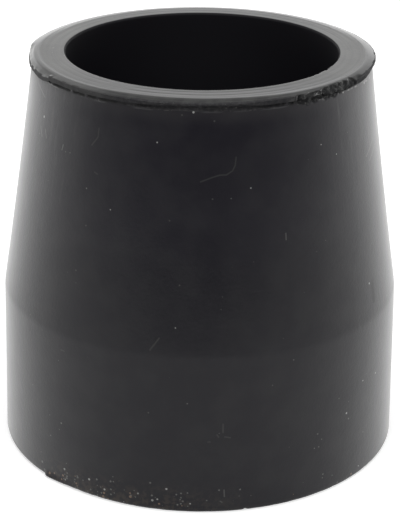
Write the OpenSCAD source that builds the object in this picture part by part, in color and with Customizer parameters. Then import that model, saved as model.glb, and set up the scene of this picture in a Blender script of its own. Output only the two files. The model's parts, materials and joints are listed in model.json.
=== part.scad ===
// Push-on rubber tip for the end of a walking cane.
// One moulding, turned about the Z axis: a tapered sleeve with a blind bore for the shaft,
// a thin lip round the rim, a short foot below the knee, and a sole with ring grooves.
// The origin is the centre of the sole, +Z runs up the bore, and sizes are in millimetres.

/* [Bore] */
// Diameter of the shaft that the bore grips
bore_d = 22; // [16:0.5:32]
// Depth of the bore, from the rim to its floor
bore_depth = 24; // [18:0.5:34]
// Radius of the round between the bore's wall and its floor
floor_round = 1.5; // [0.5:0.1:4]
// Radius of the round at the bore's mouth
mouth_round = 0.2; // [0.1:0.05:0.6]

/* [Wall] */
// Wall of the sleeve just under the lip
neck_wall = 2.65; // [1.8:0.05:4]
// Wall at the knee, where the cone meets the foot
knee_wall = 5.45; // [4.2:0.05:8]
// Wall at the ground, measured out from the bore
foot_wall = 5.7; // [4.2:0.05:9]
// Radius that blends the cone into the foot
knee_round = 5; // [1:0.5:15]

/* [Foot] */
// Rubber between the end of the shaft and the ground
sole_t = 9.2; // [5:0.1:14]
// Height of the knee above the ground
knee_h = 13.4; // [6:0.1:22]
// Radius of the round on the edge that meets the ground
foot_round = 0.25; // [0.1:0.05:1]

/* [Rim] */
// How far the thin lip stands out past the neck
lip_out = 0.3; // [0.1:0.05:0.8]
// Thickness of the lip at its edge
lip_edge = 0.12; // [0.08:0.02:0.4]
// Rise of the lip's underside, from the neck out to the edge
lip_rise = 0.1; // [0:0.02:0.3]
// Width of the sloping band between the rim's flat face and the lip's edge
band_w = 0.85; // [0.4:0.05:1.6]
// Height that the band falls from the flat face to the lip's edge
band_fall = 0.22; // [0.05:0.01:0.5]
// Radius of the round between the flat face and the band
band_round = 0.6; // [0.1:0.1:2]

/* [Sole] */
// Width of the plain ring between the foot's edge and the first groove
edge_land = 2.4; // [1.5:0.1:4]
// Radius of the plain pad in the middle of the sole, inside the last groove
pad_r = 4.5; // [2:0.5:7]
// Number of ring grooves, spread evenly from the edge to the pad
groove_count = 3; // [2:1:4]
// Width of a groove where it meets the ground
groove_w = 1.8; // [1:0.1:2.8]
// Depth of a groove
groove_depth = 1.2; // [0.5:0.1:3]
// Slope of a groove's sides away from upright, in degrees
groove_draft = 12; // [4:1:18]

/* [Hidden] */

$fn = 120;
arc_step = 10;
overrun = 1;
rubber_black = [0.12, 0.12, 0.125];

bore_r = bore_d / 2;
neck_r = bore_r + neck_wall;
knee_r = bore_r + knee_wall;
foot_r = bore_r + foot_wall;
lip_r = neck_r + lip_out;

tip_h = sole_t + bore_depth;
lip_top_h = tip_h - band_fall;
lip_under_h = lip_top_h - lip_edge;
neck_h = lip_under_h - lip_rise;

groove_floor_w = groove_w - 2 * groove_depth * tan(groove_draft);
first_groove_r = foot_r - edge_land;
last_groove_r = pad_r + groove_w;
groove_pitch = (first_groove_r - last_groove_r) / (groove_count - 1);

// The half section, as corners [radius from the axis, height, radius of the round there]
section = [
    [0, 0, 0],
    [foot_r, 0, foot_round],
    [knee_r, knee_h, knee_round],
    [neck_r, neck_h, 0],
    [lip_r, lip_under_h, 0],
    [lip_r, lip_top_h, 0],
    [lip_r - band_w, tip_h, band_round],
    [bore_r, tip_h, mouth_round],
    [bore_r, sole_t, floor_round],
    [0, sole_t, 0],
];

function unit(v) = v / norm(v);

// A turn written between -180 and 180 degrees
function short_turn(a) = a > 180 ? a - 360 : a < -180 ? a + 360 : a;

// The arc of radius r that rounds corner b of the path a, b, c, or b itself where r is 0
function rounded_corner(a, b, c, r) =
    r == 0 ? [b] :
    let (
        to_a = unit(a - b),
        to_c = unit(c - b),
        half = acos(to_a * to_c) / 2,
        centre = b + unit(to_a + to_c) * r / sin(half),
        start = b + to_a * r / tan(half) - centre,
        end = b + to_c * r / tan(half) - centre,
        first = atan2(start.y, start.x),
        turn = short_turn(atan2(end.y, end.x) - first),
        steps = max(3, ceil(abs(turn) / arc_step))
    )
    [for (i = [0 : steps]) centre + r * [cos(first + turn * i / steps), sin(first + turn * i / steps)]];

// A closed outline through the corners, each rounded by its own radius
function outline(corners) =
    let (
        count = len(corners),
        at = [for (corner = corners) [corner.x, corner.y]]
    )
    [
        for (i = [0 : count - 1])
            each rounded_corner(at[(i + count - 1) % count], at[i], at[(i + 1) % count], corners[i].z)
    ];

// The plain moulding, with its bore and lip and a flat sole
module moulding() {
    rotate_extrude() polygon(outline(section));
}

// The space of one ring groove in the sole, with its wide mouth at the ground
module sole_groove(outer_r) {
    middle_r = outer_r - groove_w / 2;
    mouth_extra = overrun * tan(groove_draft);
    rotate_extrude() polygon([
        [middle_r - groove_w / 2 - mouth_extra, -overrun],
        [middle_r + groove_w / 2 + mouth_extra, -overrun],
        [middle_r + groove_floor_w / 2, groove_depth],
        [middle_r - groove_floor_w / 2, groove_depth],
    ]);
}

module rubber_tip() {
    color(rubber_black)
        difference() {
            moulding();
            for (i = [0 : groove_count - 1])
                sole_groove(first_groove_r - i * groove_pitch);
        }
}

rubber_tip();
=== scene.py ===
# %% [markdown]
# # A push-on rubber tip for a walking cane
#
# The real tip is one piece of black rubber, moulded in one shot: a tapered sleeve that
# stretches over the end of the cane, a thick foot, and a thin lip where the mould closed.
# The frame already holds that shape as a plain solid. This lesson gives it a worn, dusty
# rubber skin: the outline stays the solid's own, every small mark is added to it, and four
# rubber finishes cover it.

# %% Load the frame
import json
import math

import bpy
from mathutils import Matrix, Vector, noise


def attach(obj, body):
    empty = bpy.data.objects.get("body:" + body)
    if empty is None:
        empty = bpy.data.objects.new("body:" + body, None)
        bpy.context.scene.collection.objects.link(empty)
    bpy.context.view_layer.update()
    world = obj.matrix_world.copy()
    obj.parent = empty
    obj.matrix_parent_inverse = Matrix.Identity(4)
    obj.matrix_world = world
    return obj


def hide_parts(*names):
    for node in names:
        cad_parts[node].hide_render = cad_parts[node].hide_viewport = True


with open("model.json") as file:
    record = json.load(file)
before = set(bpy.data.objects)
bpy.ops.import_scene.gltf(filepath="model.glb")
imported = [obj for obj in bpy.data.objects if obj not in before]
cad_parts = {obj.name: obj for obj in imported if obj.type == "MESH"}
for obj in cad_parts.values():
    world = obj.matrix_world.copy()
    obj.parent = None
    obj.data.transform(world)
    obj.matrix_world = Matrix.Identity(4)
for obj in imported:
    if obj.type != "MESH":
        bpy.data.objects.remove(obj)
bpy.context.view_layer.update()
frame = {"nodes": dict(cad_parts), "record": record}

mm = 0.001
scene = bpy.context.scene
cad_node = frame["nodes"]["rubber_tip"]
mount = {m["name"]: m for m in frame["record"]["mounts"]}["shaft_bore"]
bore_r = mount["dims"]["r_mm"] * mm

# %% [markdown]
# ## The half section
#
# A moulded sleeve is round, so all of its shape is in its half section: the line that a saw
# cut through the axis would show. That line could be drawn again by hand, but the solid
# already has it. A copy of the solid is merged and cut twice with Bisect, through the axis
# and square to that, and only the cut line is kept, so the skin can't drift from the solid.

# %% Cut a copy of the solid down to its half section
merge_distance = 0.001 * mm


def make_active(thing):
    """Makes one object the only one selected."""
    bpy.ops.object.select_all(action="DESELECT")
    thing.select_set(True)
    bpy.context.view_layer.objects.active = thing


def start_editing(thing):
    """Opens one object in edit mode, with all of its mesh selected."""
    make_active(thing)
    bpy.ops.object.mode_set(mode="EDIT")
    bpy.ops.mesh.select_all(action="SELECT")


tip = bpy.data.objects.new("cane_tip", cad_node.data.copy())
scene.collection.objects.link(tip)
tip.data.materials.clear()
start_editing(tip)
bpy.ops.mesh.remove_doubles(threshold=merge_distance)
bpy.ops.mesh.bisect(
    plane_co=(0, 0, 0), plane_no=(0, 1, 0), clear_inner=True, clear_outer=True, threshold=merge_distance
)
bpy.ops.mesh.select_all(action="SELECT")
bpy.ops.mesh.bisect(plane_co=(0, 0, 0), plane_no=(1, 0, 0), clear_inner=True, threshold=merge_distance)
bpy.ops.mesh.select_all(action="SELECT")
bpy.ops.mesh.dissolve_limited(angle_limit=math.radians(0.5))
bpy.ops.object.mode_set(mode="OBJECT")
print("Half section:", len(tip.data.vertices), "corners,", len(tip.data.edges), "edges")

# %% [markdown]
# The marks further on are placed by the rim, the crease of its band, the lip, the neck and
# the knee. Typed in, they would be wrong for a larger solid, so each is looked up as the
# highest, widest or lowest corner of a part of the section. The knee is the corner furthest
# out from a straight line between the foot and the neck.

# %% Measure the section
corners = [(v.co.x, v.co.z) for v in tip.data.vertices]
rim_z = max(z for r, z in corners)
foot_r = max(r for r, z in corners)
lip_r = max(r for r, z in corners if z > rim_z - 1 * mm)
crease_r = max(r for r, z in corners if z > rim_z - 0.001 * mm)
lip_z = min(z for r, z in corners if r > lip_r - 0.001 * mm and z > rim_z / 2)
neck_z, neck_r = max((z, r) for r, z in corners if r > bore_r + 1 * mm and z < lip_z - 0.001 * mm)
wall = [(r, z) for r, z in corners if r > neck_r + 0.01 * mm and z < neck_z]
taper = (foot_r - neck_r) / neck_z
knee_r, knee_z = max(wall, key=lambda p: p[0] - foot_r + taper * p[1])
print("Rim at height", round(rim_z / mm, 2), "and lip out to radius", round(lip_r / mm, 2), "mm")
print("Neck at radius", round(neck_r / mm, 2), "and height", round(neck_z / mm, 2), "mm")
print("Knee at radius", round(knee_r / mm, 2), "and height", round(knee_z / mm, 2), "mm")

# %% [markdown]
# ## More points where the eye looks
#
# Turned as it is, the section would give long plain bands with nothing to shape. So points
# are added to it, at a spacing that suits what happens there: a tenth of a millimetre over
# the rim and the lip, and two millimetres down the plain walls. A short gouge in the wall,
# just above the knee, needs a zone of its own, because its faces will get another finish.

# %% Choose how far apart the points are
lip_zone_z = neck_z - 0.9 * mm
foot_zone_z = 1.2 * mm
gouge_low = 14.6 * mm
gouge_high = 16.5 * mm
rim_spacing = 0.11 * mm
mouth_spacing = 0.4 * mm
lip_spacing = 0.08 * mm
foot_spacing = 0.25 * mm
gouge_spacing = 0.7 * mm
wall_spacing = 2.2 * mm


def spacing(r, z):
    """The distance between points that the section needs at this place."""
    outside = r > bore_r + 1 * mm
    if z > rim_z - 1 * mm and r < crease_r:
        return rim_spacing if z > rim_z - 0.3 * mm else mouth_spacing
    if z > lip_zone_z:
        return lip_spacing
    if outside and z < foot_zone_z and r > foot_r - 0.8 * mm:
        return foot_spacing
    if outside and gouge_low < z < gouge_high:
        return gouge_spacing
    return wall_spacing


# %% [markdown]
# The long edges are first cut with Bisect where a zone begins. Subdivide then cuts all the
# edges that are selected into the same number of parts, so the edges are sorted by the
# number of cuts that each needs, and every group is selected and cut in one go.

# %% Subdivide each edge of the section to its own spacing
def subdivide_edges(thing):
    """Cuts every edge that is longer than its spacing into equal parts."""
    mesh = thing.data
    wanted = {}
    for edge in mesh.edges:
        a, b = (mesh.vertices[i].co for i in edge.vertices)
        middle = (a + b) / 2
        cuts = math.ceil((a - b).length / spacing(middle.x, middle.z) - 0.001) - 1
        if cuts > 0:
            wanted.setdefault(cuts, []).append((tuple(a), tuple(b)))
    start_editing(thing)
    for cuts, ends in sorted(wanted.items()):
        pairs = {frozenset(pair) for pair in ends}
        bpy.ops.mesh.select_all(action="DESELECT")
        bpy.ops.mesh.select_mode(type="EDGE")
        bpy.ops.object.mode_set(mode="OBJECT")
        for edge in mesh.edges:
            edge.select = frozenset(tuple(mesh.vertices[i].co) for i in edge.vertices) in pairs
        bpy.ops.object.mode_set(mode="EDIT")
        bpy.ops.mesh.subdivide(number_cuts=cuts)
    bpy.ops.object.mode_set(mode="OBJECT")


zone_heights = (lip_zone_z, gouge_high, gouge_low, foot_zone_z)
for zone_z in zone_heights:
    start_editing(tip)
    bpy.ops.mesh.bisect(plane_co=(0, 0, zone_z), plane_no=(0, 0, 1), threshold=merge_distance)
    bpy.ops.object.mode_set(mode="OBJECT")
subdivide_edges(tip)
print("Cut at", [round(z / mm, 2) for z in zone_heights], "mm")
print("Half section now has", len(tip.data.vertices), "points")

# %% [markdown]
# ## What the mould left in the section
#
# Two things run all the way round, so they are shaped in the line, before it is turned.
# The tapered wall is very slightly hollow, because thick rubber shrinks as it cools, and the
# sloping band outside the flat rim is crowned. Both are a smooth arch over a stretch.

# %% Shape the line
wall_hollow = 0.069 * mm
band_crown = 0.032 * mm


def bow(share):
    """A smooth arch over a stretch: 0 at both ends and 1 in the middle."""
    return 4 * share * (1 - share)


for point in tip.data.vertices:
    r, z = point.co.x, point.co.z
    if r > neck_r and knee_z < z < neck_z:
        point.co.x -= wall_hollow * bow((z - knee_z) / (neck_z - knee_z))
    if r > crease_r and z > lip_z + 0.05 * mm:
        point.co.z += band_crown * bow((r - crease_r) / (lip_r - crease_r))
print("Wall hollowed by", wall_hollow / mm, "mm and band crowned by", band_crown / mm, "mm")

# %% [markdown]
# ## Turn the line into a body
#
# The Screw modifier turns the line round the axis, as a lathe would. Spin does the same in
# edit mode, but takes far longer at this many steps. The line's two ends lie on the axis, so
# the points there are merged, and the normals are then made to face outwards.

# %% Turn it with Screw
turn_steps = 720

make_active(tip)
screw = tip.modifiers.new("turn", "SCREW")
screw.axis = "Z"
screw.angle = math.tau
screw.steps = turn_steps
screw.render_steps = turn_steps
screw.use_merge_vertices = True
screw.merge_threshold = merge_distance
bpy.ops.object.modifier_apply(modifier=screw.name)
start_editing(tip)
bpy.ops.mesh.remove_doubles(threshold=merge_distance)
bpy.ops.mesh.select_all(action="SELECT")
bpy.ops.mesh.normals_make_consistent(inside=False)
bpy.ops.object.mode_set(mode="OBJECT")
triangles = sum(len(p.vertices) - 2 for p in tip.data.polygons)
print("Skin:", len(tip.data.vertices), "points,", triangles, "triangles")

# %% [markdown]
# ## Wear in the shape
#
# A used tip isn't round any more where it was trimmed and where it rubs. Such marks change
# the outline, so they are shape and not bump: each point is pulled a little, by a rule on
# where it lies, and smooth noise keeps the pull from looking like a pattern. A place is a
# turn from the front, in degrees with + to the right, and a height.

# %% Helpers that say where a point lies
def ramp(value, start, end):
    """A smooth step from 0 at start to 1 at end."""
    share = min(1, max(0, (value - start) / (end - start)))
    return share * share * (3 - 2 * share)


def window(value, start, end, fade):
    """1 between start and end, fading to 0 over this distance on both sides."""
    return ramp(value, start - fade, start) * (1 - ramp(value, end, end + fade))


def turn_of(point):
    """The turn of a point from the front of the tip, in degrees, + to the right."""
    return math.degrees(math.atan2(point.x, -point.y))


def lumps(point, size, seed):
    """Smooth noise from about -1 to 1, with lumps of this size."""
    return noise.noise(point / size + Vector((seed, 2 * seed, 3 * seed)))


# %% [markdown]
# Under the lip the mould's parting line left a narrow recess, and below it the stub of the
# trimmed flash, a ridge that comes and goes. Both run round the neck, but here and there the
# flash still joins lip and wall, and the recess has a gap.

# %% The recess and the flash ridge under the lip
recess_z = neck_z - 0.14 * mm
recess_half = 0.2 * mm
recess_depth = 0.09 * mm
recess_gaps = (-57, -46, -39.3, -34.5, 27.5)
gap_half = 0.7
ridge_z = neck_z - 0.35 * mm
ridge_half = 0.08 * mm
ridge_out = 0.06 * mm


def in_gap(turn):
    """Whether the recess is closed at this turn, where the flash still joins lip and wall."""
    return any(abs(turn - gap) < gap_half for gap in recess_gaps)


print("Recess", round(2 * recess_half / mm, 2), "mm wide, with", len(recess_gaps), "gaps")

# %% [markdown]
# The lip itself is thin and uneven. On the left it is rolled down over the recess, with a
# fold at its root. Two stretches are thicker below, two curl up at the edge, and round the
# back the band falls away more steeply. On the front right the lip is torn: first the wall
# under it is ripped, then its own edge is gone, and what is left hangs down. Each stretch is
# a middle, a half width and a size, and fades out to its ends.

# %% Stretches of the lip that hang, are thick or curl up
rolled_down = {"turn": -75, "half": 22, "drop": 0.38 * mm}
hanging = (
    rolled_down,
    {"turn": 47, "half": 7, "drop": 0.25 * mm},
    {"turn": 55, "half": 8, "drop": 0.28 * mm},
)
thick = (
    {"turn": -42, "half": 38, "sag": 0.13 * mm},
    {"turn": 27, "half": 15, "sag": 0.12 * mm},
)
lifted = (
    {"turn": -64, "half": 48, "lift": 0.08 * mm},
    {"turn": 55, "half": 45, "lift": 0.09 * mm},
)
back_from = 95
back_fade = 30
back_fall = 0.05 * mm
back_r = crease_r - 0.35 * mm
fold_r = neck_r + 0.03 * mm
fold_half = 0.14 * mm
fold_depth = 0.09 * mm


def most(stretches, turn, key):
    """The greatest value of a key at this turn, each faded out to the ends of its stretch."""
    return max(s[key] * ramp(abs(turn - s["turn"]), s["half"], 0.55 * s["half"]) for s in stretches)


print("Uneven stretches of the lip:", len(hanging + thick + lifted))

# %% [markdown]
# A tear has two sizes: how far it bites in from the lip's edge, and how far down the wall it
# reaches. Its outline would be a smooth curve, so noise in two sizes makes it ragged, and
# noise on the turn moves its ends. The same rule later tells which faces look torn.

# %% The tears
tears = (
    {"turn": 35.5, "half": 6.5, "bite": 0.1 * mm, "reach": 0.62 * mm},
    {"turn": 46.5, "half": 6.5, "bite": 0.45 * mm, "reach": 0.5 * mm},
    {"turn": 53.5, "half": 4.5, "bite": 0.36 * mm, "reach": 0.25 * mm},
)
least_tear = 0.03 * mm
tear_fade = 0.06 * mm
crumb = 0.13 * mm
torn_drop = 0.1 * mm
torn_back = 0.05 * mm


def torn_part(point):
    """How torn the rubber is at a point near the lip, 0 to 1, by its own ragged outline."""
    turn = turn_of(point) + 1.6 * lumps(point, 0.45 * mm, 12)
    r = math.hypot(point.x, point.y)
    ragged = 0.85 + 0.45 * lumps(point, 0.6 * mm, 11) + 0.3 * lumps(point, 0.28 * mm, 15)
    bite = most(tears, turn, "bite") * ragged
    reach = most(tears, turn, "reach") * ragged
    inner = lip_r - bite
    lower = neck_z - reach
    if point.z > neck_z:
        return ramp(r, inner - tear_fade, inner + tear_fade) if bite > least_tear else 0
    return ramp(point.z, lower - tear_fade, lower + tear_fade) if reach > least_tear else 0


print("Tears:", len(tears), "that bite up to", round(max(t["bite"] for t in tears) / mm, 2), "mm")

# %% [markdown]
# A point near the lip gets the sum of three small moves. The first is for the wall under the
# lip, which is pushed in at the recess and out at the ridge. Each is an arch over the height,
# and noise breaks it up on its way round.

# %% The first move: the wall under the lip
def neck_move(point, out, turn):
    """How the recess and the flash ridge move a point of the wall; out points off the axis."""
    low = 1 - min(1, abs(point.z - recess_z) / recess_half) ** 2
    near = 1 - min(1, abs(point.z - ridge_z) / ridge_half) ** 2
    broken = 0 if in_gap(turn) else ramp(abs(lumps(point, 1.5 * mm, 3)), 0.02, 0.08)
    patchy = ramp(lumps(point, 1.2 * mm, 5), -0.1, 0.25)
    return out * (ridge_out * near * patchy - recess_depth * low * broken)


# %% [markdown]
# The second move is the lip's own. Most of it goes by the lip's share, which is 0 at the neck
# and 1 at its edge, so the root of the lip stays where it is. The lip waves in and out, hangs
# or is thicker in its stretches, folds where it is rolled down, and curls up at its edge.

# %% The second move: the uneven lip
lip_wave = 0.08
root_margin = 0.01 * mm
edge_margin = 0.03 * mm


def lip_move(point, out, turn):
    """How the uneven lip moves a point near it."""
    r = math.hypot(point.x, point.y)
    over = max(0, r - neck_r)
    share = over / (lip_r - neck_r)
    at_back = ramp(abs(turn), back_from, back_from + back_fade)
    move = Vector((0, 0, -back_fall * at_back * ramp(r, back_r, crease_r + 0.1 * mm)))
    if point.z > neck_z - root_margin:
        hang = 0 if in_gap(turn) else most(hanging, turn, "drop")
        move += out * over * lip_wave * (lumps(out, 0.09, 7) + lumps(point, 0.5 * mm, 8))
        move.z -= share * hang * (0.9 + 0.2 * lumps(point, 0.8 * mm, 9))
    if neck_z - root_margin < point.z < lip_z + edge_margin:
        move.z -= share * most(thick, turn, "sag") * (1 + 0.3 * lumps(point, 0.7 * mm, 10))
    if point.z > lip_z:
        rolled = most([rolled_down], turn, "drop") / rolled_down["drop"]
        move.z -= fold_depth * rolled * ramp(abs(r - fold_r), fold_half, 0)
        move.z += most(lifted, turn, "lift") * max(0, r - crease_r) / (lip_r - crease_r)
    return move


# %% [markdown]
# The third move is for what is torn. Such points are shaken about by three noises, one for
# each axis, and drawn back towards the neck, which makes crumbs.

# %% The third move: the tears, and the sum of all three
def torn_move(point, out):
    """How the tears move a point; nothing where the rubber is whole."""
    r = math.hypot(point.x, point.y)
    rough = Vector([lumps(point, 0.24 * mm, seed) for seed in (13, 17, 19)])
    inside = ramp(point.z, neck_z, rim_z) * ramp(r, crease_r, crease_r + 0.2 * mm)
    move = rough * crumb - out * (0.35 * max(0, r - neck_r) + torn_back)
    move.z -= torn_drop * inside
    return move * torn_part(point)


def pull_lip(point):
    """The new place of a point on or near the lip."""
    turn = turn_of(point)
    out = Vector((point.x, point.y, 0)).normalized()
    move = lip_move(point, out, turn) + torn_move(point, out)
    if point.z < neck_z:
        move += neck_move(point, out, turn)
    return point + move


# %% [markdown]
# The mouth of the bore has a ragged stretch too, on the right. Its points are pushed in and
# out by noise, inside a window that keeps the rest of the mouth round.

# %% Shape the bore's mouth
mouth_from = 49
mouth_to = 68
mouth_fade = 4
mouth_burr = 0.16 * mm


def pull_mouth(point):
    """The new place of a point on the edge of the bore's mouth."""
    r = math.hypot(point.x, point.y)
    share = window(turn_of(point), mouth_from, mouth_to, mouth_fade)
    share *= window(r, bore_r, bore_r + 0.3 * mm, 0.2 * mm)
    share *= ramp(point.z, rim_z - 0.5 * mm, rim_z - 0.1 * mm)
    inward = Vector((point.x, point.y, 0)) / -r
    bite = lumps(point, 0.45 * mm, 23)
    return point + inward * mouth_burr * share * bite


print("Ragged mouth from", mouth_from, "to", mouth_to, "degrees")

# %% [markdown]
# The edge that meets the ground is chipped all round, with one small notch at the front and
# more wear on the left. Where that wear ends a small burr stands out, with a sharp corner
# where it was torn off and a long tail.

# %% Shape the foot's edge
burr_turn = -47.4
burr_rise = 1.9
burr_tail = 12
burr_out = 0.2 * mm
chip_depth = 0.035 * mm
worn_left = 0.06 * mm
worn_from = -100
worn_to = -45
worn_fade = 45
notch_turn = 13.2
notch_half = 0.7
notch_height = 0.12 * mm


def pull_foot(point):
    """The new place of a point on the foot's bottom edge."""
    turn = turn_of(point)
    out = Vector((point.x, point.y, 0))
    r = out.length
    low = 1 - ramp(point.z, 0.05 * mm, 0.55 * mm)
    share = ramp(r, foot_r - 1.2 * mm, foot_r - 0.2 * mm) * low
    burr = ramp(turn, burr_turn - burr_rise, burr_turn) * ramp(turn, burr_turn + burr_tail, burr_turn)
    burr *= 1 + 0.3 * lumps(point, 1 * mm, 29)
    notch = max(0, 1 - abs(turn - notch_turn) / notch_half)
    chips = chip_depth * max(0, lumps(point, 0.6 * mm, 31))
    worn = worn_left * window(turn, worn_from, worn_to, worn_fade)
    lift = Vector((0, 0, share * (chips + worn + notch_height * notch)))
    return point + lift + out / r * share * burr_out * burr


print("Burr at", burr_turn, "and notch at", notch_turn, "degrees")

# %% [markdown]
# The flat rim was cut in a lathe, and the tool left fine rings in it, with two deeper ones.
# They catch the light most at the front. Noise over the radius alone gives rings, and a
# little noise over the whole surface makes them wander, as they do in soft rubber.

# %% Cut the rings into the rim
ring_sizes = (0.22 * mm, 0.45 * mm)
ring_depth = 0.013 * mm
ring_wander = 0.07 * mm
ring_clip = 0.3
deep_rings = (bore_r + 0.72 * mm, bore_r + 1.42 * mm)


def cut_rings(point):
    """The new place of a point on the rim, where the cutting tool left fine rings."""
    turn = turn_of(point)
    r = math.hypot(point.x, point.y) + ring_wander * lumps(point, 3 * mm, 41)
    strength = 0.35 + 0.65 * (1 - ramp(abs(turn), 15, 60))
    flat = window(r, bore_r + 0.3 * mm, lip_r - 0.4 * mm, 0.15 * mm)
    drift = Vector((0, 0, math.radians(turn) * 0.5))
    waves = sum(noise.noise(Vector((r / size, 0, size / mm)) + drift) for size in ring_sizes)
    line = min(ring_clip, waves) - ring_clip
    cut = max(ramp(abs(r - groove), 0.2 * mm, 0.05 * mm) for groove in deep_rings)
    line -= cut * ramp(lumps(point, 2.5 * mm, 43), -0.4, 0)
    return point + Vector((0, 0, ring_depth * strength * flat * line))


print("Deep rings at radius", [round(ring / mm, 2) for ring in deep_rings], "mm")

# %% [markdown]
# Now every point is handed to the rule for its own zone. No point may rise above the rim,
# because the solid's height is the height of the real tip. The angles that are left sharp
# are those over 28 degrees, such as the lip's edge. The piece then takes the place of the
# solid in the frame, and rides on its only body.

# %% Pull every point and hand the piece to the frame
sharp_angle = math.radians(28)
mouth_zone = 0.6 * mm
foot_zone = 1.3 * mm
ring_zone = 0.3 * mm
moved = 0

for vertex in tip.data.vertices:
    place = vertex.co.copy()
    reach = math.hypot(place.x, place.y)
    if place.z > lip_zone_z and reach > back_r:
        vertex.co = pull_lip(place)
    elif place.z > rim_z - mouth_zone and reach < bore_r + mouth_zone:
        vertex.co = pull_mouth(place)
    elif place.z < foot_zone_z and reach > foot_r - foot_zone:
        vertex.co = pull_foot(place)
    if place.z > rim_z - ring_zone and bore_r < reach < lip_r - 0.2 * mm:
        vertex.co = cut_rings(vertex.co)
    vertex.co.z = min(vertex.co.z, rim_z)
    moved += vertex.co != place
tip.data.update()

make_active(tip)
bpy.ops.object.shade_smooth_by_angle(angle=sharp_angle)
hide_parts("rubber_tip")
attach(tip, "root")
print("Moved", moved, "of", len(tip.data.vertices), "points")

# %% [markdown]
# ## Black rubber, old and fresh
#
# Old rubber has a bloom: wax and dust on its skin that take the light at a flat angle, so a
# round part is almost black in the middle and grey at its edges. The Principled shader's
# sheen does just that. Where the rubber was cut or torn, or where nothing rubs it, the bloom
# is thinner or missing. So this one piece has four finishes: the bloomed wall, the cut rim,
# the smooth edge of the lip, and bare rubber.

# %% Helpers that build a material from nodes
def new_material(name):
    """An empty material with its Principled shader."""
    material = bpy.data.materials.new(name)
    material.use_nodes = True
    return material.node_tree, material.node_tree.nodes["Principled BSDF"], material


def node(tree, kind, *inputs, **settings):
    """Adds a node, sets it up, and feeds its inputs in order; None leaves one as it is."""
    made = tree.nodes.new(kind)
    for name, value in settings.items():
        setattr(made, name, value)
    for socket, value in zip(made.inputs, inputs):
        if isinstance(value, bpy.types.NodeSocket):
            tree.links.new(value, socket)
        elif value is not None:
            socket.default_value = value
    return made


def dress(tip, tree, shader, material, colour):
    """Feeds a colour to the shader and gives the tip this material."""
    tree.links.new(colour, shader.inputs["Base Color"])
    tip.data.materials.append(material)
    print(material.name, "has", len(tree.nodes), "nodes")


def set_inputs(shader, values):
    """Sets inputs of a shader, each by its name."""
    for name, value in values.items():
        shader.inputs[name].default_value = value


def calc(tree, operation, *values):
    """One step of arithmetic on numbers or sockets."""
    return node(tree, "ShaderNodeMath", *values, operation=operation).outputs[0]


def product(tree, first, *others):
    """All the numbers or sockets multiplied together."""
    for other in others:
        first = calc(tree, "MULTIPLY", first, other)
    return first


def between(tree, share, first, second):
    """The number that lies this share of the way from the first to the second."""
    return calc(tree, "MULTIPLY_ADD", share, calc(tree, "SUBTRACT", second, first), first)


def remap(tree, value, low, high, new_low=0.0, new_high=1.0):
    """Turns the range low to high into another, smoothly and without passing its ends."""
    made = node(tree, "ShaderNodeMapRange", value, low, high, new_low, new_high)
    made.interpolation_type = "SMOOTHSTEP"
    return made.outputs[0]


def stretch(tree, value, rise, top, fall, end):
    """1 between top and fall, with a smooth rise before and a smooth fall to the end after."""
    return product(tree, remap(tree, value, rise, top), remap(tree, value, end, fall))


def blend(tree, share, first, second):
    """A mix of two colours."""
    made = node(tree, "ShaderNodeMix", data_type="RGBA")
    for name, value in (("Factor_Float", share), ("A_Color", first), ("B_Color", second)):
        socket = next(s for s in made.inputs if s.identifier == name)
        if isinstance(value, bpy.types.NodeSocket):
            tree.links.new(value, socket)
        else:
            socket.default_value = value
    return next(s for s in made.outputs if s.identifier == "Result_Color")


# %% [markdown]
# A material has to know where on the piece it is. Object coordinates give the point, and the
# radius, turn and height follow from it, in the same terms as the shaping above. The marks
# then stay on the piece wherever it is moved. Two kinds of noise make most of the dust: soft
# clouds, and round specks in the cells of a loose grid.

# %% Helpers that place noise and specks on the piece
def places(tree):
    """The object's own coordinates in millimetres: the point, its radius, turn and height."""
    local = node(tree, "ShaderNodeTexCoord").outputs["Object"]
    scaled = node(tree, "ShaderNodeVectorMath", local, operation="SCALE")
    scaled.inputs["Scale"].default_value = 1 / mm
    point = scaled.outputs[0]
    x, y, z = node(tree, "ShaderNodeSeparateXYZ", point).outputs
    radius = calc(tree, "SQRT", calc(tree, "ADD", product(tree, x, x), product(tree, y, y)))
    turn = calc(tree, "DEGREES", calc(tree, "ARCTAN2", x, product(tree, y, -1.0)))
    return point, radius, turn, z


def cloud(tree, point, size, detail=2.0, roughness=0.5):
    """Soft noise from 0 to 1, with lumps of this size in millimetres."""
    made = node(tree, "ShaderNodeTexNoise")
    tree.links.new(point, made.inputs["Vector"])
    made.inputs["Scale"].default_value = 1 / size
    made.inputs["Detail"].default_value = detail
    made.inputs["Roughness"].default_value = roughness
    return made.outputs["Fac"]


def specks(tree, point, cell, radius, share):
    """Round specks of up to this radius, in a share of the cells of a loose grid."""
    made = node(tree, "ShaderNodeTexVoronoi")
    tree.links.new(point, made.inputs["Vector"])
    made.inputs["Scale"].default_value = 1 / cell
    chance, size, _ = node(tree, "ShaderNodeSeparateColor", made.outputs["Color"]).outputs
    edge = product(tree, calc(tree, "MULTIPLY_ADD", size, 0.6, 0.4), radius / cell)
    inside = calc(tree, "LESS_THAN", made.outputs["Distance"], edge)
    return product(tree, inside, calc(tree, "LESS_THAN", chance, share))


def bumpy(tree, shader, height, depth):
    """Feeds a height from 0 to 1 to the shader as bump of this depth."""
    bump = node(tree, "ShaderNodeBump")
    bump.inputs["Distance"].default_value = depth
    tree.links.new(height, bump.inputs["Height"])
    tree.links.new(bump.outputs[0], shader.inputs["Normal"])


# %% [markdown]
# A scratch is a short straight stroke. On a round wall its place is a turn and a height, and
# unrolling the wall makes the turn a length, so a stroke is all that lies within half its
# width of a line between two points. A hair mark or a forked nick is a few such strokes, and
# a single grain of dust is all that lies within half its width of one point.

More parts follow.
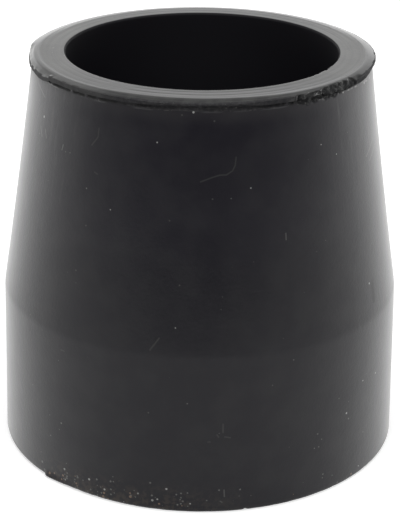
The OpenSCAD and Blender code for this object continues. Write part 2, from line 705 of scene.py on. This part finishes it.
# %% Helpers for strokes and grains on the unrolled wall
wall_mean_r = (knee_r + neck_r) / 2 / mm


def unrolled(tree, turn, height):
    """The wall laid flat, in millimetres: the way round it, then the height."""
    around = product(tree, turn, math.radians(wall_mean_r))
    return node(tree, "ShaderNodeCombineXYZ", around, height).outputs[0]


def flat_place(turn, height):
    """The same for one place that is known beforehand."""
    return Vector((math.radians(turn) * wall_mean_r, height, 0))


def vector_step(tree, operation, *inputs):
    """One step of arithmetic on vectors."""
    made = node(tree, "ShaderNodeVectorMath", *inputs, operation=operation)
    gives_number = operation in ("DISTANCE", "DOT_PRODUCT")
    return made.outputs["Value" if gives_number else "Vector"]


def least(tree, values):
    """The least of many numbers."""
    total = values[0]
    for value in values[1:]:
        total = calc(tree, "MINIMUM", total, value)
    return total


def stroke_miss(tree, flat, start, end):
    """How far a point of the flat wall lies from a stroke between two places, in mm."""
    along = flat_place(*end) - flat_place(*start)
    offset = vector_step(tree, "SUBTRACT", flat, flat_place(*start))
    share = vector_step(tree, "DOT_PRODUCT", offset, along / along.length_squared)
    share = node(tree, "ShaderNodeClamp", share).outputs[0]
    nearest = vector_step(tree, "SCALE", along, None, None, share)
    return vector_step(tree, "DISTANCE", offset, nearest)


def strokes(tree, flat, lines, width):
    """1 on all the strokes of a list of lines, each a chain of places, else 0."""
    ends = [pair for line in lines for pair in zip(line, line[1:])]
    misses = [stroke_miss(tree, flat, start, end) for start, end in ends]
    return remap(tree, least(tree, misses), width / 2, width / 4)


grain_edge = 0.05


def grains(tree, flat, spots):
    """1 on round grains, each (turn in degrees, height in mm, width in mm), else 0."""
    misses = []
    for turn_at, height_at, width in spots:
        miss = vector_step(tree, "DISTANCE", flat, flat_place(turn_at, height_at))
        misses.append(calc(tree, "SUBTRACT", miss, width / 2))
    return remap(tree, least(tree, misses), 0.0, -grain_edge)


print("Mean radius of the wall:", round(wall_mean_r, 2), "mm")

# %% [markdown]
# ## The bloomed wall
#
# The wall is nearly black with a violet cast, a little lighter in soft clouds. Four thin layers
# lighten it: under the lip, dust together with painted light where the lip shades the wall,
# more of it on the sides; a haze of dust on both sides; a fainter one over the upper wall; and
# smears that run up and down there. Each layer mixes in a very small share of one dust colour,
# because more of it looks like grey plastic.

# %% Bloomed rubber: its colour, painted light under the lip, and its haze
tree, shader, bloomed = new_material("bloomed_rubber")
point, radius, turn, height = places(tree)
far_side = calc(tree, "ABSOLUTE", turn)

rubber_dark = (0.0056, 0.0051, 0.0082, 1)
rubber_light = (0.0092, 0.0088, 0.0114, 1)
colour = blend(tree, remap(tree, cloud(tree, point, 2.2, 4), 0.35, 0.7), rubber_dark, rubber_light)

dust_grey = (0.42, 0.41, 0.38, 1)
neck_height = neck_z / mm
# Painted light and dust under the lip: the wall is lightened where the lip shades it, more on the sides.
dust_and_light_share = between(tree, remap(tree, far_side, 62.0, 76.0), 0.03, 0.08)
under_lip_dust_and_light = remap(tree, height, neck_height - 1.76, neck_height - 0.26)
colour = blend(tree, product(tree, under_lip_dust_and_light, dust_and_light_share), colour, dust_grey)

haze_clouds = remap(tree, cloud(tree, point, 2.4, 3, 0.6), 0.35, 0.7, 0.0, 0.012)
haze = product(tree, remap(tree, far_side, 28.0, 60.0), haze_clouds)
colour = blend(tree, haze, colour, dust_grey)

bloom_violet = (0.40, 0.38, 0.50, 1)
upper_start = 18.0
high_haze = remap(tree, height, upper_start, 24.0, 0.0, 0.009)
colour = blend(tree, high_haze, colour, bloom_violet)
print("Bloomed rubber begins with", len(tree.nodes), "nodes")

# %% [markdown]
# Whatever rubbed the upper wall went up and down it. Noise is drawn out into such long smears
# by what it is fed: half the turn in degrees and a fifth of the height in millimetres give
# lumps about half a millimetre wide and 5 mm tall.

# %% Bloomed rubber: smears up and down the upper wall
narrow = product(tree, turn, 0.5)
tall = product(tree, height, 0.2)
up_and_down = node(tree, "ShaderNodeCombineXYZ", narrow, None, tall).outputs[0]
smear_lines = remap(tree, cloud(tree, up_and_down, 1.0, 3, 0.6), 0.52, 0.72)
smear_share = remap(tree, height, 27.5, 31.0, 0.03, 0.06)
on_upper_side = product(tree, remap(tree, far_side, 35.0, 55.0), remap(tree, height, upper_start, 26.0))
colour = blend(tree, product(tree, smear_lines, smear_share, on_upper_side), colour, dust_grey)
print("With smears it has", len(tree.nodes), "nodes")

# %% [markdown]
# Near the ground the wall is dirty, most of all at the front left. A film the colour of sand
# comes first. On it sit specks of three sizes, heaped in drifts and thickest at the ground:
# the share of the grid's cells that hold a speck falls off with the height, and is far lower
# on the clean side. A few faint specks are spread over the whole wall.

# %% Bloomed rubber: the dirt near the ground
dirt_top = 3.0
near_ground = remap(tree, height, dirt_top, 0.1)
dirty_side = stretch(tree, turn, -62.0, -42.0, -12.0, 22.0)

dust_sand = (0.34, 0.25, 0.16, 1)
film_clouds = remap(tree, cloud(tree, point, 0.45, 3, 0.6), 0.45, 0.62, 0.0, 0.07)
colour = blend(tree, product(tree, near_ground, dirty_side, film_clouds), colour, dust_sand)

dust_faint = (0.05, 0.05, 0.048, 1)
colour = blend(tree, specks(tree, point, 0.8, 0.08, 0.2), colour, dust_faint)

dust_dim = (0.10, 0.10, 0.095, 1)
dust_brown = (0.15, 0.10, 0.070, 1)
grain_grey = (0.22, 0.22, 0.21, 1)
dirt = (
    {"cell": 0.28, "radius": 0.09, "dirty": 0.7, "clean": 0.1, "colour": dust_dim},
    {"cell": 0.45, "radius": 0.12, "dirty": 0.5, "clean": 0.03, "colour": dust_brown},
    {"cell": 0.6, "radius": 0.12, "dirty": 0.35, "clean": 0.06, "colour": grain_grey},
)
drifts = remap(tree, cloud(tree, point, 3.5, 2), 0.38, 0.62, 0.2, 1.0)
heaped = product(tree, near_ground, drifts)
for kind in dirt:
    share = product(tree, heaped, calc(tree, "MULTIPLY_ADD", dirty_side, kind["dirty"], kind["clean"]))
    found = specks(tree, point, kind["cell"], kind["radius"], share)
    colour = blend(tree, found, colour, kind["colour"])
print("Dirt near the ground comes up to", dirt_top, "mm")

# %% [markdown]
# The stub of the trimmed flash shows as a broken line of light, partly flecks and partly a
# highlight on its ridge. The ridge has its shape already, so here a narrow band at its height is
# lightened where a noise is high, which is in part a painted highlight.

# %% Bloomed rubber: flecks and a painted highlight along the trimmed flash
off_ridge = calc(tree, "ABSOLUTE", calc(tree, "SUBTRACT", height, ridge_z / mm))
# Painted highlight: the ridge's band is lightened, beside real flecks.
ridge_highlight_band = remap(tree, off_ridge, 0.12, 0.04)
broken_highlight_flecks = remap(tree, cloud(tree, point, 0.55, 3, 0.6), 0.54, 0.62, 0.0, 0.12)
colour = blend(tree, product(tree, ridge_highlight_band, broken_highlight_flecks), colour, dust_grey)
print("Flecks lie at height", round(ridge_z / mm, 2), "mm")

# %% [markdown]
# Some marks belong to this one tip, and noise can't put them in their place: a long hair
# mark high on the front, short nicks, and single grains of dust. Each place is a turn and a
# height, judged and rounded.

# %% Bloomed rubber: where the marks of this one tip are
hair_mark = [
    [(10.6, 28.9), (10.3, 28.3), (9.5, 27.9), (7.6, 27.6), (5.6, 27.6), (3.0, 27.4), (-0.1, 27.1)],
]
nicks = [
    [(7.2, 2.0), (7.3, 1.4)],
    [(6.2, 1.0), (6.7, 0.9)],
    [(25.6, 22.7), (25.6, 22.2)],
]
faint_nicks = [
    [(-10.9, 14.9), (-13.3, 13.9)],
    [(-33.4, 30.3), (-33.6, 29.6), (-35.7, 28.9)],
    [(-33.9, 26.9), (-32.9, 26.8)],
    [(-41.4, 12.1), (-40.2, 12.1)],
    [(6.7, 7.8), (6.7, 7.1)],
    [(7.2, 6.7), (8.7, 6.6)],
    [(5.1, 6.9), (5.5, 6.7)],
    [(2.7, 6.3), (3.2, 6.3)],
]
side_marks = [
    [(-70.6, 32.2), (-67.6, 31.7), (-64.2, 31.4), (-61.4, 31.1)],
    [(-62.1, 28.7), (-60.6, 28.0)],
    [(-58.8, 28.7), (-57.6, 28.1)],
    [(-48.0, 28.2), (-48.4, 27.8)],
    [(64.0, 26.4), (71.3, 27.3)],
    [(66.1, 25.9), (73.2, 26.7)],
]
under_torn_lip = [[(53.1, 32.35), (59.6, 32.3), (66.4, 32.2), (75.3, 32.05)]]
print("Marks:", len(hair_mark + nicks + faint_nicks + side_marks + under_torn_lip))

# %% [markdown]
# The strokes are only a little lighter than the rubber, because a scratch in it is a change
# of its skin and not a coat of paint. On the sides, where the bloom is light, a stroke has to
# be lighter too. The line under the torn end of the lip is bright, and noise breaks it up.

# %% Bloomed rubber: draw the marks
stroke_width = 0.15
scratch_grey = (0.060, 0.060, 0.058, 1)
scratch_faint = (0.026, 0.026, 0.026, 1)
hair_grey = (0.029, 0.029, 0.030, 1)
flat = unrolled(tree, turn, height)
colour = blend(tree, strokes(tree, flat, side_marks, 0.16), colour, scratch_grey)
line_breaks = remap(tree, cloud(tree, point, 0.4, 3, 0.6), 0.46, 0.58)
lip_line = product(tree, strokes(tree, flat, under_torn_lip, 0.2), line_breaks)
colour = blend(tree, lip_line, colour, grain_grey)
colour = blend(tree, strokes(tree, flat, faint_nicks, stroke_width), colour, scratch_faint)
colour = blend(tree, strokes(tree, flat, hair_mark, stroke_width), colour, hair_grey)
colour = blend(tree, strokes(tree, flat, nicks, 0.12), colour, scratch_grey)
print("With its marks it has", len(tree.nodes), "nodes")

# %% [markdown]
# The larger grains of dust are few enough to be placed one by one, each by its turn, height
# and width. They have three tones. The brown ones lie by the ground, most of the dim ones low
# on the wall, and the bright ones all over it.

# %% Bloomed rubber: the larger grains of dust
grain_bright = (0.30, 0.30, 0.29, 1)
brown_grains = [
    (-46.5, 0.5, 0.26), (-44.5, 0.7, 0.2), (-41.0, 0.9, 0.24), (-41.5, 0.5, 0.2), (-36.0, 0.7, 0.2),
    (-10.5, 0.6, 0.2),
]
dim_grains = [
    (-50.0, 1.1, 0.26), (-41.5, 5.6, 0.2), (-46.0, 4.0, 0.16), (47.0, 5.7, 0.18), (26.5, 12.6, 0.14),
    (-62.5, 28.1, 0.16), (9.0, 25.8, 0.14), (-36.5, 25.5, 0.16), (35.0, 5.5, 0.16), (36.5, 4.9, 0.14),
    (34.0, 4.3, 0.15), (35.5, 4.3, 0.15), (54.5, 3.6, 0.16), (43.0, 0.3, 0.18), (-3.0, 9.6, 0.15),
    (-35.5, 1.3, 0.22), (-36.5, 1.0, 0.18), (-39.5, 0.8, 0.22), (-24.5, 0.7, 0.2), (-18.5, 1.0, 0.18),
    (-13.0, 2.4, 0.2), (-4.5, 1.7, 0.18), (-4.5, 1.3, 0.16), (-4.0, 1.0, 0.18), (2.5, 1.1, 0.16),
    (-44.5, 27.8, 0.14),
]
bright_grains = [
    (-13.5, 29.9, 0.16), (15.0, 26.5, 0.15), (-27.5, 24.3, 0.14), (40.0, 28.9, 0.14), (46.5, 27.8, 0.14),
    (-6.5, 15.8, 0.14), (53.5, 8.4, 0.16), (61.0, 8.2, 0.18), (46.0, 6.3, 0.2), (-31.5, 1.5, 0.22),
    (-26.5, 1.0, 0.2), (-8.5, 2.0, 0.2), (-2.0, 0.8, 0.16), (-11.0, 1.0, 0.18), (52.0, 32.3, 0.2),
    (67.5, 32.1, 0.26), (70.0, 32.1, 0.2), (-2.5, 32.3, 0.22), (52.5, 0.7, 0.16), (-60.5, 29.6, 0.24),
    (58.0, 16.4, 0.2),
]
tones = ((brown_grains, dust_brown), (dim_grains, dust_dim), (bright_grains, grain_bright))
for spots, tone in tones:
    colour = blend(tree, grains(tree, flat, spots), colour, tone)
    print("Placed", len(spots), "single grains")

# %% [markdown]
# The skin itself is fairly smooth, with a fine grain from the mould. Its bloom is the sheen:
# almost full weight, and a roughness that keeps the light to the last part of the curve
# before the edge. A lower roughness of the skin adds the bright line right at the outline.

# %% Bloomed rubber: its grain and its bloom
rough = remap(tree, cloud(tree, point, 2.6, 1.5), 0.3, 0.7, 0.2, 0.27)
tree.links.new(rough, shader.inputs["Roughness"])
grain_depth = 0.008 * mm
grain = calc(tree, "ADD", cloud(tree, point, 0.25, 4, 0.6), cloud(tree, point, 1.2, 2))
bumpy(tree, shader, grain, grain_depth)
set_inputs(shader, {"Specular IOR Level": 0.3, "Sheen Weight": 0.88, "Sheen Roughness": 0.4})
dress(tip, tree, shader, bloomed, colour)

# %% [markdown]
# ## The cut rim
#
# A blade cut the rim to length, so its skin is fresh and more open than the wall. It has the
# tool's rings in its tone as well as in its shape: noise that runs fast over the radius and
# hardly changes round the rim, mixed with a few patches.

# %% Cut rubber: its tone and its rings
tree, shader, cut = new_material("cut_rubber")
point, radius, turn, _ = places(tree)
cut_dark = (0.0040, 0.0040, 0.0045, 1)
cut_light = (0.0200, 0.0205, 0.0195, 1)
fast_radius = product(tree, radius, 5.0)
slow_turn = product(tree, turn, 0.012)
rings = node(tree, "ShaderNodeCombineXYZ", fast_radius, slow_turn).outputs[0]
ring_lines = cloud(tree, rings, 1.0, 3)
patches = cloud(tree, point, 1.5, 4, 0.6)
tone = remap(tree, between(tree, 0.4, ring_lines, patches), 0.35, 0.65)
colour = blend(tree, tone, cut_dark, cut_light)
print("Cut rubber begins with", len(tree.nodes), "nodes")

# %% [markdown]
# The rim's two sides are lightened in patches towards dust grey, as painted light for the
# brighter light they catch, and a few flecks of dust lie on the rim. A surface rougher than the
# wall's, under the light from above, makes the rim the lightest part of the tip.

# %% Cut rubber: painted light on its sides, its flecks and its skin
far_side = calc(tree, "ABSOLUTE", turn)
# Painted light: the rim's two sides are lightened towards dust grey, in patches, for the light they catch
# there.
lit_rim_sides = stretch(tree, far_side, 40.0, 68.0, 110.0, 145.0)
rim_painted_light = remap(tree, cloud(tree, point, 1.8, 4, 0.6), 0.3, 0.7, 0.03, 0.09)
colour = blend(tree, product(tree, lit_rim_sides, rim_painted_light), colour, dust_grey)
colour = blend(tree, specks(tree, point, 0.8, 0.07, 0.08), colour, dust_grey)
rim_flecks = [
    [(-45.4, 13.2), (-43.6, 13.1)],
    [(-77.8, 11.2), (-77.4, 11.2)],
    [(-61.6, 13.7), (-61.0, 13.8)],
    [(-17.6, 13.2), (-16.8, 13.2)],
]
flat = unrolled(tree, turn, radius)
colour = blend(tree, strokes(tree, flat, rim_flecks, stroke_width), colour, grain_grey)
tree.links.new(remap(tree, ring_lines, 0.3, 0.7, 0.38, 0.5), shader.inputs["Roughness"])
cut_depth = 0.006 * mm
grain = calc(tree, "ADD", ring_lines, cloud(tree, point, 0.2, 3, 0.6))
bumpy(tree, shader, grain, cut_depth)
set_inputs(shader, {"Specular IOR Level": 0.25, "Sheen Weight": 0.8, "Sheen Roughness": 0.4})
dress(tip, tree, shader, cut, colour)

# %% [markdown]
# ## The smooth edge of the lip
#
# The sloping band outside the cut was never cut. It is as smooth as the mould, so it has the
# rim's colours without the rings, a lower roughness, and less of a shine. On the left the lip
# is made a little lighter.

# %% The smooth rubber of the lip
tree, shader, smooth = new_material("lip_rubber")
point, _, turn, _ = places(tree)
tone = remap(tree, cloud(tree, point, 1.0, 3, 0.6), 0.35, 0.65)
colour = blend(tree, tone, cut_dark, cut_light)
left_lip_grey = (0.080, 0.080, 0.078, 1)
left_lip_stretch = stretch(tree, turn, -100.0, -75.0, -42.0, -26.0)
colour = blend(tree, product(tree, left_lip_stretch, 0.5), colour, left_lip_grey)
lip_depth = 0.004 * mm
bumpy(tree, shader, cloud(tree, point, 0.3, 3, 0.6), lip_depth)
set_inputs(shader, {
    "Roughness": 0.2, "Specular IOR Level": 0.15, "Sheen Weight": 0.8, "Sheen Roughness": 0.4,
})
dress(tip, tree, shader, smooth, colour)

# %% [markdown]
# ## Bare rubber
#
# Inside the bore, in the recess and where the lip is torn, the rubber has no bloom. So it has
# no sheen at all, and a high roughness. A torn surface is a mix of hollows and paler crumbs,
# so the tear gets a noise of its own with more contrast, whose dark patches are painted shade
# for the hollows.

# %% Bare rubber: its tone, and the torn stretch
tree, shader, bare = new_material("bare_rubber")
point, radius, turn, height = places(tree)
bare_dark = (0.0170, 0.0165, 0.0185, 1)
bare_light = (0.0400, 0.0395, 0.0410, 1)
tone = remap(tree, cloud(tree, point, 0.35, 4, 0.65), 0.4, 0.7)
colour = blend(tree, tone, bare_dark, bare_light)

# The torn tone is random, and its dark end is painted shade for the hollows of the tear.
torn_painted_shade = (0.010, 0.010, 0.011, 1)
torn_light = (0.070, 0.070, 0.069, 1)
torn_side = stretch(tree, turn, 26.0, 32.0, 58.0, 66.0)
torn_tone_and_shade = remap(tree, cloud(tree, point, 0.5, 4, 0.65), 0.45, 0.66)
colour = blend(tree, torn_side, colour, blend(tree, torn_tone_and_shade, torn_painted_shade, torn_light))
rolled_side = stretch(tree, turn, -100.0, -80.0, -36.0, -24.0)
colour = blend(tree, product(tree, rolled_side, 0.45), colour, scratch_grey)
print("Bare rubber begins with", len(tree.nodes), "nodes")

# %% [markdown]
# The bore is painted the blackest colour on the tip, as painted shade inside the hole. Outside
# it, small pale specks stand for crumbs, and more of them for the fibres in the tear.

# %% Bare rubber: painted shade in the bore, the crumbs and the fibres
bore_painted_shade = (0.0050, 0.0046, 0.0066, 1)
outside = remap(tree, radius, bore_r / mm + 0.2, bore_r / mm + 1)
# Painted shade: the bore's wall is painted near black, for the shade inside the hole.
colour = blend(tree, outside, bore_painted_shade, colour)
crumbs = product(tree, specks(tree, point, 0.35, 0.08, 0.3), outside)
colour = blend(tree, crumbs, colour, scratch_grey)
below_lip = remap(tree, height, neck_height - 0.26, neck_height - 0.41)
near_lip = remap(tree, height, neck_height - 2.76, neck_height - 1.76)
fibre_zone = product(tree, below_lip, near_lip, remap(tree, turn, 29.0, 31.0), outside)
fibres = specks(tree, point, 0.32, 0.09, product(tree, fibre_zone, 0.6))
colour = blend(tree, fibres, colour, scratch_grey)
set_inputs(shader, {"Roughness": 0.6, "Specular IOR Level": 0.2})
dress(tip, tree, shader, bare, colour)

# %% [markdown]
# ## Which face has which finish
#
# In edit mode one would select faces and press Assign. Here a rule on each face's middle does
# the same. The smallest finish comes first: the short gouge above the knee. Something scraped
# the bloom off there, which leaves a finish like the lip's. It leans a little to the left.

# %% Where the gouge is
gouge_turn = 59.7
gouge_half = 0.8
gouge_lean = -0.2 / mm


def in_gouge(point):
    """Whether a point of the outer wall lies in the gouge above the knee."""
    middle_turn = gouge_turn + gouge_lean * (point.z - (gouge_low + gouge_high) / 2)
    return gouge_low < point.z < gouge_high and abs(turn_of(point) - middle_turn) < gouge_half


print("Gouge", round((gouge_high - gouge_low) / mm, 2), "mm tall, at", gouge_turn, "degrees")

# %% [markdown]
# Rings of selected faces would have straight borders, but a rule can make them ragged. The
# bore, the worn edge of the foot, the recess under the lip, a strip along the lip's edge and
# everything torn are bare. Above the neck lie the cut rim and the smooth band. All the rest
# is the bloomed wall.

# %% Give each face its finish
bore_skin = 0.12 * mm
lip_strip = 0.1 * mm
lip_past = 0.04 * mm
worn_foot = 0.14 * mm
finishes = ("bloomed_rubber", "cut_rubber", "lip_rubber", "bare_rubber")
slots = {name: tip.data.materials.find(name) for name in finishes}


def finish_at(face):
    """The finish that a face of the tip has, by its place."""
    middle = face.center
    r = math.hypot(middle.x, middle.y)
    if in_gouge(middle):
        return "lip_rubber"
    if middle.z > 1 * mm and r < bore_r + bore_skin:
        return "bare_rubber"
    if middle.z < worn_foot and r > foot_r - 1 * mm:
        return "bare_rubber"
    if middle.z < lip_zone_z or r < back_r:
        return "cut_rubber" if middle.z > neck_z else "bloomed_rubber"
    turn = turn_of(middle)
    strip = lip_strip * (1 + 0.4 * lumps(middle, 0.7 * mm, 47) + 1.3 * window(turn, -20, 22, 6))
    strip *= ramp(turn, -64, -48)
    hidden = neck_z + 0.02 * mm > middle.z > recess_z - recess_half and not in_gap(turn)
    past_wall = r - neck_r - taper * (neck_z - middle.z) > lip_past
    if (past_wall and r > lip_r - strip) or hidden or torn_part(middle) > 0.5:
        return "bare_rubber"
    if middle.z > neck_z:
        inner = crease_r + 0.05 * mm - 0.3 * mm * ramp(abs(turn), back_from, back_from + back_fade)
        return "lip_rubber" if r > inner else "cut_rubber"
    return "bloomed_rubber"


for face in tip.data.polygons:
    face.material_index = slots[finish_at(face)]
for name, index in slots.items():
    print(name, "is on", sum(face.material_index == index for face in tip.data.polygons), "faces")

# %% [markdown]
# ## The floor
#
# The tip stands on white paper. For the camera alone it also glows a little: the paper then
# looks white, and the soft shadow of the tip stays on it.

# %% Lay the floor
floor_size = 0.3
floor_glow = 0.45
paper_white = (0.8, 0.8, 0.8, 1)

bpy.ops.mesh.primitive_plane_add(size=floor_size, location=(0, 0, 0))
floor = bpy.context.active_object
floor.name = "floor"
tree, shader, floor_white = new_material("floor_white")
set_inputs(shader, {
    "Base Color": paper_white, "Roughness": 0.9, "Specular IOR Level": 0.1, "Emission Color": (1, 1, 1, 1),
})
seen = node(tree, "ShaderNodeLightPath").outputs["Is Camera Ray"]
tree.links.new(product(tree, seen, floor_glow), shader.inputs["Emission Strength"])
floor.data.materials.append(floor_white)
print("Floor:", floor_size, "m wide")

# %% [markdown]
# ## The light
#
# Black rubber shows only what it reflects, so it is lit by a large soft tent and by no
# single lamp. The world is that tent, and its strength depends on the direction. Near the
# horizon it is dark in front and light behind, which draws the bright edges of the wall.
# Higher up it is brightest in front, and overhead it is even, which lights the rim. The
# camera sees none of this: for camera rays the strength is 1, which is plain white.

# %% Light the scene from the world
light_behind = 1.4
light_in_front = 1.7
light_elsewhere = 0.35
light_overhead = 1.4
low_to_middle = (0.2, 0.4)
middle_to_top = (0.65, 0.85)

world = bpy.data.worlds.new("studio")
world.use_nodes = True
scene.world = world
tree = world.node_tree
background = tree.nodes["Background"]
direction = node(tree, "ShaderNodeTexCoord").outputs["Generated"]
x, y, z = node(tree, "ShaderNodeSeparateXYZ", direction).outputs
level = calc(tree, "MAXIMUM", calc(tree, "SUBTRACT", 1.0, product(tree, z, z)), 0.0001)
back = calc(tree, "DIVIDE", y, calc(tree, "SQRT", level))
low = remap(tree, back, -0.85, 0.85, 0.0, light_behind)
middle = remap(tree, back, -0.3, -0.85, light_elsewhere, light_in_front)
light = between(tree, remap(tree, z, *low_to_middle), low, middle)
light = between(tree, remap(tree, z, *middle_to_top), light, light_overhead)
seen = node(tree, "ShaderNodeLightPath").outputs["Is Camera Ray"]
tree.links.new(between(tree, seen, light, 1.0), background.inputs["Strength"])
background.inputs["Color"].default_value = (1, 1, 1, 1)
print("World light from 0 to", max(light_behind, light_in_front, light_overhead))

# %% [markdown]
# ## The camera
#
# The view is close by and from above the front, with a long lens. The rim's ellipse fixes
# how far the camera looks down, and the difference between it and the curve of the foot
# fixes how near it is. The whole picture leans by about half a degree, and so does the
# camera. The picture is 400 by 521 pixels, which the lens is worked out for.

# %% Place the camera
camera_back = 138.08 * mm
camera_up = 73.08 * mm
camera_pitch = math.radians(22.938)
camera_roll = math.radians(0.604)
camera_lens = 122.26
camera_sensor = 36

bpy.ops.object.camera_add(location=(0, -camera_back, camera_up))
camera = bpy.context.active_object
camera.data.lens = camera_lens
camera.data.sensor_width = camera_sensor
camera.data.clip_start = 1 * mm
camera.rotation_euler = (
    Matrix.Rotation(math.radians(90) - camera_pitch, 3, "X") @ Matrix.Rotation(camera_roll, 3, "Z")
).to_euler()
scene.camera = camera
scene.view_settings.view_transform = "Standard"
print("Camera", round(camera.location.length / mm, 1), "mm from the foot of the tip")
